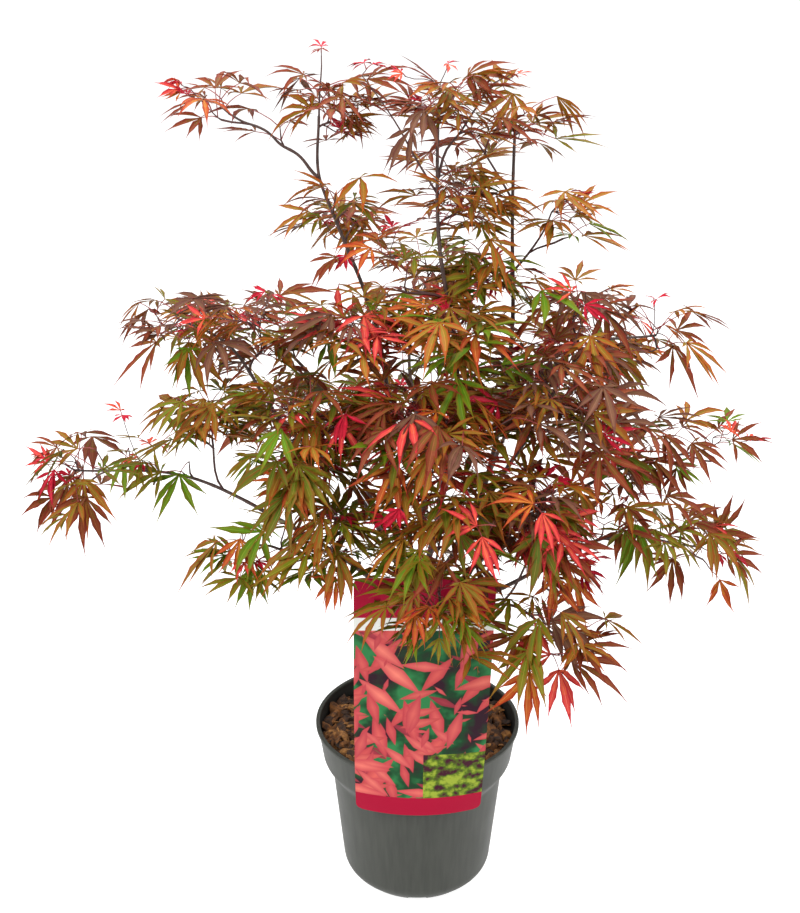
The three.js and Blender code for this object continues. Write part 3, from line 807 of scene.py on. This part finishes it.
# Tiers with a mix of their own.
TIER_TINTS = {
    "tier_left_arm_tip": {"maroon": 4, "crimson": 1.5, "coral": 1, "bronze": 2.5, "olive": 1},
    "tier_top_left_tip": {"maroon": 4, "bronze": 3, "russet": 2.5, "olive": 1.5, "orange": 0.5},
    "tier_right_shoulder": {"maroon": 6, "plum": 3, "bronze": 4, "russet": 3, "olive": 1, "coral": 1.2},
    "tier_right_shoulder_tip": {"maroon": 5, "plum": 2, "bronze": 4, "russet": 2, "crimson": 0.4},
    "tier_right_flank": {"maroon": 7, "plum": 3, "bronze": 3.5, "russet": 2, "coral": 2, "olive": 1.2},
}
GREEN_TINTS = ("olive", "moss", "green")
TOP_FADE = ((570, 670), (1, 0.15))  # the green tints and coral give way between these heights
SUN_FADE = ((-0.6, 0.6), (2.2, 0.4))  # and the green ones from the lower to the upper side of a tier
YOUNG_LENGTH = 26  # a shorter leaf is a young one, with broader lobes for its length
YOUNG_BREADTH = 1.45
LEAF_OVERHANG = 12  # how far a leaf's tip may pass the crown's furthest tips
TIER_OVERHANG = 26  # and how far its tier's outline, before it hangs
CROWN_HALF = (310, 230)  # half the width and half the depth of the crown

leaf_low = np.array(cad_box[0]) / MM - LEAF_OVERHANG
leaf_high = np.array(cad_box[1]) / MM + LEAF_OVERHANG
leaf_rng = np.random.default_rng(7)
leaf_meshes = {
    tint: {"points": [], "faces": [], "slots": [], "count": 0, "tiers": set()} for tint in LEAF_TINTS
}
stalk_parts = []


def lobe_plan(stations, edges, strips):
    """One lobe's triangles with their tones, and its half width at each station along it.

    A lobe is narrow at its foot, broadest before its middle, and drawn out to a thread at its tip.
    """
    columns = len(edges)
    shares = np.linspace(0, 1, stations)
    faces, tones = [], []
    for station in range(stations - 1):
        for column, tone in enumerate(strips):
            if tone == 1 and shares[station] < 0.34:
                tone = 0
            if shares[station] > 0.68:
                tone = 2
            a = station * columns + column
            if station < stations - 2:
                faces += [(a, a + 1, a + columns + 1), (a, a + columns + 1, a + columns)]
                tones += [tone, tone]
            else:
                faces.append((a, a + 1, (stations - 1) * columns))
                tones.append(tone)
    width = np.interp(shares, *LOBE_OUTLINE)
    toothed = TOOTH * np.where(np.arange(stations) % 2, 1, -1) * ((shares > 0.2) & (shares < 0.8))
    return np.array(faces), np.array(tones), shares, width * (1 + toothed), np.array(edges)


LOBE_PLANS = [(least, *lobe_plan(*mesh)) for least, *mesh in LOBE_MESHES]


def add_leaf(foot, heading, face_up, length, tint, tier, droop, lobes, spread, fold):
    """One leaf with its lobes spread about a heading. droop is how far the lobes arch down, in radians."""
    heading = unit(heading)
    face_up = unit(face_up - heading * np.dot(face_up, heading))
    side = np.cross(heading, face_up)
    store = leaf_meshes[tint]
    blade = []
    for angle, part in list(zip(LOBE_ANGLES, LOBE_LENGTHS))[:lobes]:
        turn = angle * spread + leaf_rng.normal(0, 0.06)
        reach = length * part * leaf_rng.uniform(0.9, 1.08)
        _, faces, tones, shares, outline, edges = next(plan for plan in LOBE_PLANS if reach >= plan[0])
        step = shares[1]
        half = reach * LOBE_WIDTH * leaf_rng.uniform(0.88, 1.12) / part**0.25
        half *= YOUNG_BREADTH if length < YOUNG_LENGTH else 1
        forward = unit(
            heading * math.cos(turn) + side * math.sin(turn) + face_up * leaf_rng.normal(0.03, 0.12)
        )
        across = unit(np.cross(forward, face_up))
        sway = leaf_rng.normal(0, 0.33)
        bend = droop * leaf_rng.uniform(0.75, 1.25)
        place = foot.copy()
        points = np.empty((len(shares), len(edges), 3))
        for k, share in enumerate(shares):
            width = half * outline[k]
            rise = np.abs(edges) * width * fold
            points[k] = place + np.outer(edges * width, across) + np.outer(rise, np.cross(across, forward))
            pull = np.array([0, 0, -bend * step * (0.3 + 1.4 * share)])
            forward = unit(forward + pull + across * sway * step)
            across = unit(across - forward * np.dot(across, forward))
            place = place + forward * reach * step
        blade.append(points.reshape(-1, 3)[: (len(shares) - 1) * len(edges) + 1])
        store["faces"].append(faces + store["count"])
        store["slots"].append(tones)
        store["count"] += len(blade[-1])
    # A leaf that would pass the crown's furthest tips is a smaller one.
    reach = np.concatenate(blade) - foot
    room = np.where(reach > 0, leaf_high - foot, leaf_low - foot)
    store["points"].append(foot + reach / max((reach / room).max(), 1))
    store["tiers"].add(tier)


def add_stalked_leaf(node, way, length, stalk, tint, tier, level, hang, lobes=7, to_front=0):
    """A leaf on its stalk, which rises along way and nods. The blade points along level, and hangs from it.

    to_front is how far the blade turns its upper face to the front.
    """
    top = node + way * stalk - np.array([0, 0, 0.12 * stalk])
    route = smooth_route([node, top], 10, way + np.array([0, 0, 0.25]), way - np.array([0, 0, 0.35]))
    stalk_parts.append(tube(route, np.linspace(0.55, 0.4, len(route)), 3))
    heading = level * math.cos(hang) - np.array([0, 0, math.sin(hang)])
    face_up = level * math.sin(hang) + np.array([0, -to_front, math.cos(hang)]) + leaf_rng.normal(0, 0.26, 3)
    # A blade that hangs closes its fan and droops less than a level one.
    hanging = max(hang, 0)
    spread = leaf_rng.uniform(0.84, 1.08) * (1 - 0.25 * hanging)
    droop, fold = leaf_rng.uniform(0.15, 0.95) * math.cos(hanging), leaf_rng.uniform(0.3, 0.7)
    add_leaf(top, heading, face_up, length, tint, tier, droop, lobes, spread, fold)


def level_way(way, outward):
    """The level direction of a leaf that grows along way, drawn a little towards the outside."""
    return unit(unit(np.array([way[0], way[1], 0])) + outward * 0.3 + leaf_rng.normal(0, 0.4, 3) * (1, 1, 0))


def blade_hang(tip, tier):
    """How far a blade hangs from level, in radians, for a leaf whose level tip would be at tip.

    Most are held out nearly level, more so up in the crown. On the outside of the crown, one that would
    pass the outline of its tier hangs.
    """
    if leaf_rng.random() < np.interp(tip[2], (400, 640), (0.84, 0.93)):
        hang = leaf_rng.normal(-0.04, 0.18)
    else:
        hang = leaf_rng.uniform(0.35, 1)
    middle, half, _ = tiers[tier]
    from_middle = (tip - middle) / (half + TIER_OVERHANG)
    outside = (tip[0] / CROWN_HALF[0]) ** 2 + (tip[1] / CROWN_HALF[1]) ** 2
    if math.hypot(from_middle[0], from_middle[1]) > 1 and leaf_rng.random() < outside:
        hang = max(hang, leaf_rng.uniform(0.3, 1))
    return hang


def spray_mix(shoot):
    """The tints that a shoot's leaves are dealt from: its tier's own, less green and coral towards the top.

    Within a tier the upper leaves are darker red, from the sun, and the shaded ones below are greener.
    """
    mix = dict(TIER_TINTS.get(shoot["tier"], SPRAY_TINTS[shoot["slot"]]))
    height = shoot["route"][-1][2]
    middle, half, _ = tiers[shoot["tier"]]
    towards_top = np.interp(height, *TOP_FADE)
    shade = np.interp((height - middle[2]) / half[2], *SUN_FADE)
    for tint in mix:
        if tint in GREEN_TINTS:
            mix[tint] *= towards_top * shade
        elif tint == "coral":
            mix[tint] *= towards_top
    return mix


def pick(mix):
    return str(leaf_rng.choice(list(mix), p=np.array(list(mix.values())) / sum(mix.values())))


def leaf_out(shoot):
    """Opposite pairs of leaves along a shoot, and a small crimson pair at many a tip."""
    route, tier, mix = shoot["route"], shoot["tier"], spray_mix(shoot)
    crown_side = np.array([route[-1][0], route[-1][1], 0]) / 200
    outward = unit(shoot["outward"] * 0.6 + crown_side)
    headings = np.gradient(route, axis=0)
    pairs = 1 + int(len(route) * TWIG_STEP > 1.7 * PAIR_SPACING and leaf_rng.random() < 0.6)
    tint = pick(mix)
    size = LEAF_LENGTH * (0.88 if route[-1][2] > 620 else 1)
    for pair in range(pairs):
        place = max(len(route) - 1 - round(pair * PAIR_SPACING / TWIG_STEP), 1)
        forward = unit(headings[place])
        across = unit(np.cross(forward, (0, 0, 1)))
        if pair % 2:
            across = unit(across * 0.75 + np.cross(across, forward) * 0.65)
        for side in (-1, 1):
            if leaf_rng.random() < 0.08:
                continue
            rise = np.array([0, 0, 0.3]) + leaf_rng.normal(0, 0.12, 3)
            way = unit(across * side * 0.85 + forward * 0.55 + rise)
            length = size * leaf_rng.uniform(0.62, 1.22)
            own = tint if leaf_rng.random() < OWN_TINT else pick(mix)
            stalk = length * leaf_rng.uniform(0.35, 0.7)
            level = level_way(way, outward)
            hang = blade_hang(route[place] + way * stalk + level * length, tier)
            lobes = 7 if leaf_rng.random() < 0.5 else 5
            add_stalked_leaf(route[place], way, length, stalk, own, tier, level, hang, lobes)
    if leaf_rng.random() < YOUNG_CHANCE:
        add_young_pair(route, tier, outward)


# Single leaves that stand out: the place of the blade's foot, its heading in degrees from +X, how far it
# hangs in radians, its length, its tint and how far it turns to the front.
SHOWY_LEAVES = [
    (-2, -162, 424, -110, 0.7, 46, "olive", 0.4), (19, -166, 415, -140, 0.5, 48, "maroon", 0.4),
    (-21, -142, 416, -80, 0.8, 44, "green", 0.4), (41, -188, 457, 165, -0.35, 36, "coral", 1.0),
    (45, -188, 448, -75, 0.9, 40, "coral", 0.5), (84, -172, 468, 172, -0.05, 42, "orange", 0.8),
    (91, -172, 460, -60, 0.8, 38, "coral", 0.5), (-17, -168, 461, -120, 0.7, 24, "crimson", 0.6),
    (103, -165, 333, 165, -0.1, 42, "coral", 1.0), (30, -165, 513, -95, 0.05, 56, "plum", 0.25),
    (90, -125, 514, -20, 0.05, 50, "plum", 0.3), (8, -105, 540, -90, 0.0, 50, "maroon", 0.3),
    (85, -112, 525, -60, 0.0, 46, "plum", 0.3), (27, -25, 594, -90, 0.8, 46, "bronze", 0.5),
    (-14, -30, 589, -80, 0.7, 36, "green", 0.5), (-193, 20, 742, 180, -0.3, 22, "coral", 0.8),
    (-191, 18, 740, 165, 0.4, 20, "orange", 0.8), (-58, -125, 522, -105, 0.5, 38, "crimson", 0.6),
    (-67, -150, 394, -120, 0.8, 36, "orange", 0.5), (-5, -190, 383, -90, 0.9, 34, "orange", 0.5),
    (-93, -132, 470, -112, 0.5, 44, "orange", 0.5), (-104, -128, 468, 176, 0.2, 42, "orange", 0.6),
    (-60, -112, 506, -95, 0.45, 40, "coral", 0.3), (60, -96, 520, -150, 0.2, 42, "crimson", 0.4),
    (-310, -45, 446, 165, -0.6, 30, "coral", 0.8), (-305, -48, 441, -110, 0.9, 38, "crimson", 0.6),
    (-294, -45, 435, -95, 1.15, 60, "maroon", 0.5), (-281, -50, 434, -75, 1.1, 52, "russet", 0.5),
    (-286, -40, 457, 160, -0.1, 44, "bronze", 0.3), (-245, -48, 452, -90, 0.6, 42, "green", 0.5),
    (-199, -60, 443, -105, 0.75, 54, "green", 0.6), (-214, -62, 445, 170, 0.4, 46, "olive", 0.5),
    (-125, -125, 422, -150, 0.35, 52, "green", 0.7), (-143, -128, 417, -95, 0.95, 44, "orange", 0.5),
    (-136, -120, 386, -85, 1.1, 40, "green", 0.4), (-189, -40, 546, -90, 1.0, 46, "green", 0.5),
    (-171, -60, 577, 170, 0.0, 32, "coral", 0.6), (213, 0, 535, -75, 1.0, 54, "maroon", 0.5),
    (137, -50, 560, -75, 0.9, 54, "russet", 0.5), (143, -20, 573, 20, -0.35, 44, "maroon", 0.4),
    (120, -50, 596, 150, -0.3, 30, "coral", 0.9), (131, -50, 585, -30, 0.3, 28, "crimson", 0.9),
    (143, -112, 499, 10, -0.2, 36, "crimson", 1.2), (141, -112, 485, -55, 0.7, 58, "maroon", 0.6),
    (154, -100, 505, 5, 0.0, 46, "plum", 0.7), (234, -8, 449, -40, 0.45, 48, "maroon", 0.6),
    (272, 6, 446, 0, -0.1, 42, "maroon", 0.8), (270, 6, 452, 60, -0.5, 20, "coral", 0.9),
    (219, -20, 433, -15, 0.35, 34, "green", 0.8), (220, -20, 430, -100, 1.0, 34, "maroon", 0.4),
    (232, -22, 381, 0, 0.05, 56, "maroon", 0.8), (181, -62, 398, -100, 0.9, 56, "green", 0.5),
    (185, -60, 395, -70, 1.0, 58, "olive", 0.4), (219, -40, 354, -100, 1.0, 48, "maroon", 0.5),
    (270, -22, 349, -10, 0.2, 42, "maroon", 0.9), (265, -25, 325, -70, 1.0, 34, "orange", 0.5),
    (132, -112, 379, -30, 0.3, 30, "crimson", 0.8), (126, -115, 375, -80, 1.0, 44, "orange", 0.5),
    (105, -142, 352, -12, 0.3, 62, "plum", 0.9), (123, -142, 314, -20, 0.3, 60, "maroon", 0.7),
    (112, -150, 310, -80, 1.0, 50, "coral", 0.5), (88, -150, 308, -110, 0.9, 54, "orange", 0.6),
    (78, -150, 344, -150, 0.6, 44, "maroon", 0.6), (108, -125, 379, -75, 1.0, 46, "orange", 0.5),
]
SHOWY_SEVEN = 45  # the longer ones have seven lobes
# Places of the youngest growth, which stands up in small crimson clusters.
YOUNG_TIPS = [
    (-79, 30, 768), (-43, 16, 757), (-190, 20, 744), (-184, 16, 736), (128, 14, 655), (-312, -42, 446),
    (-242, -60, 490), (-184, -22, 562), (-178, -24, 560), (-123, -30, 582), (120, 0, 572), (116, -4, 570),
    (-26, -146, 438), (-136, -132, 396), (134, -116, 386), (72, -52, 534), (197, 10, 566), (-20, -30, 636),
    (75, 38, 748), (150, -80, 482), (286, 12, 440), (262, -40, 356), (-12, 20, 751), (21, 22, 757),
]


def add_young_pair(route, tier, outward):
    forward = unit(route[-1] - route[-2])
    across = unit(np.cross(forward, (0, 0, 1)) + 1e-6)
    for side in (-1, 1):
        way = unit(forward * 0.6 + across * side * 0.7 + np.array([0, 0, 0.55]))
        young = "crimson" if leaf_rng.random() < 0.7 else "coral"
        length, hang = leaf_rng.uniform(13, 24), leaf_rng.uniform(-0.5, 0.4)
        add_stalked_leaf(route[-1], way, length, length * 0.35, young, tier, level_way(way, outward), hang, 5)


def add_named_leaves():
    for *place, turn, hang, length, tint, to_front in SHOWY_LEAVES:
        level = np.array([math.cos(math.radians(turn)), math.sin(math.radians(turn)), 0])
        route = grow_twig(np.array(place) - level * 0.4 * length, 1.1, 0.5, 0.1)
        stalk, lobes, tier = 0.4 * length, 7 if length > SHOWY_SEVEN else 5, nearest_tier(place)
        add_stalked_leaf(route[-1], level, length, stalk, tint, tier, level, hang, lobes, to_front)
    for place in YOUNG_TIPS:
        outward = unit(np.array([place[0], place[1], 0.0]))
        add_young_pair(grow_twig(np.array(place, float), 1.0, 0.4, 0.5), nearest_tier(place), outward)


def make_leaves():
    for shoot in shoots:
        leaf_out(shoot)
    add_named_leaves()
    for tint, tones in LEAF_TINTS.items():
        store = leaf_meshes[tint]
        parts = ("foot", "blade", "margin", "midrib")
        materials = [
            new_material(f"leaf_{tint}_{part}", tone, 0.55, 0.14)[0] for part, tone in zip(parts, tones)
        ]
        points, faces, slots = (np.concatenate(store[name]) for name in ("points", "faces", "slots"))
        piece = add_piece("leaves_" + tint, points, faces, materials, slots)
        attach(piece, "root")
        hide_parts(*sorted(store["tiers"]))


make_leaves()


def make_twigs_and_stalks():
    for name, parts, colour in (("twigs", twig_parts, "#4a2a26"), ("leaf_stalks", stalk_parts, "#8f3431")):
        points, faces, count = [], [], 0
        for part_points, part_faces in parts:
            points.append(part_points)
            faces.append(part_faces + count)
            count += len(part_points)
        material, _, _ = new_material(f"maple_{name}", colour, 0.55)
        piece = add_piece(name, np.concatenate(points), np.concatenate(faces), [material])
        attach(piece, "root")


make_twigs_and_stalks()

# ---- Floor, light and camera ----


def make_floor():
    """A white table, lit from within, as product photographs are taken on."""
    points, faces = turned([(0, -0.1), (16000, -0.1), (16000, -40), (0, -40)], 64)
    material, _, shader = new_material("light_table_opal_acrylic", "#b4b4b4", 0.8)
    shader.inputs["Emission Color"].default_value = (1, 1, 1, 1)
    shader.inputs["Emission Strength"].default_value = 0.85
    floor = add_piece("floor", points, [face[::-1] for face in faces], [material])


def make_light(name, place, size, power):
    """A square softbox that faces the middle of the plant."""
    data = bpy.data.lights.new(name, "AREA")
    data.shape, data.size, data.energy = "SQUARE", size, power
    light = bpy.data.objects.new(name, data)
    bpy.context.scene.collection.objects.link(light)
    light.location = place
    light.rotation_euler = (Vector((0, 0, 0.45)) - Vector(place)).to_track_quat("-Z", "Y").to_euler()


make_floor()
make_light("softbox_left", (-1.7, -1.5, 2.2), 1.4, 66)
make_light("softbox_right", (1.9, -1.1, 1.7), 1.4, 32)
make_light("softbox_top", (0.2, 0.9, 2.5), 1.6, 54)

world = bpy.data.worlds.new("white_studio")
bpy.context.scene.world = world
world.use_nodes = True
world.node_tree.nodes["Background"].inputs["Color"].default_value = (1, 1, 1, 1)
world.node_tree.nodes["Background"].inputs["Strength"].default_value = 0.6
bpy.context.scene.view_settings.view_transform = "Standard"

camera_data = bpy.data.cameras.new("camera")
camera_data.lens, camera_data.sensor_width = 59.146, 36
camera_data.clip_end = 100
camera = bpy.data.objects.new("camera", camera_data)
bpy.context.scene.collection.objects.link(camera)
camera.location = (-0.0163, -1.1948, 0.9458)
camera.rotation_euler = (math.radians(90 - 23.326), 0, 0)
bpy.context.scene.camera = camera
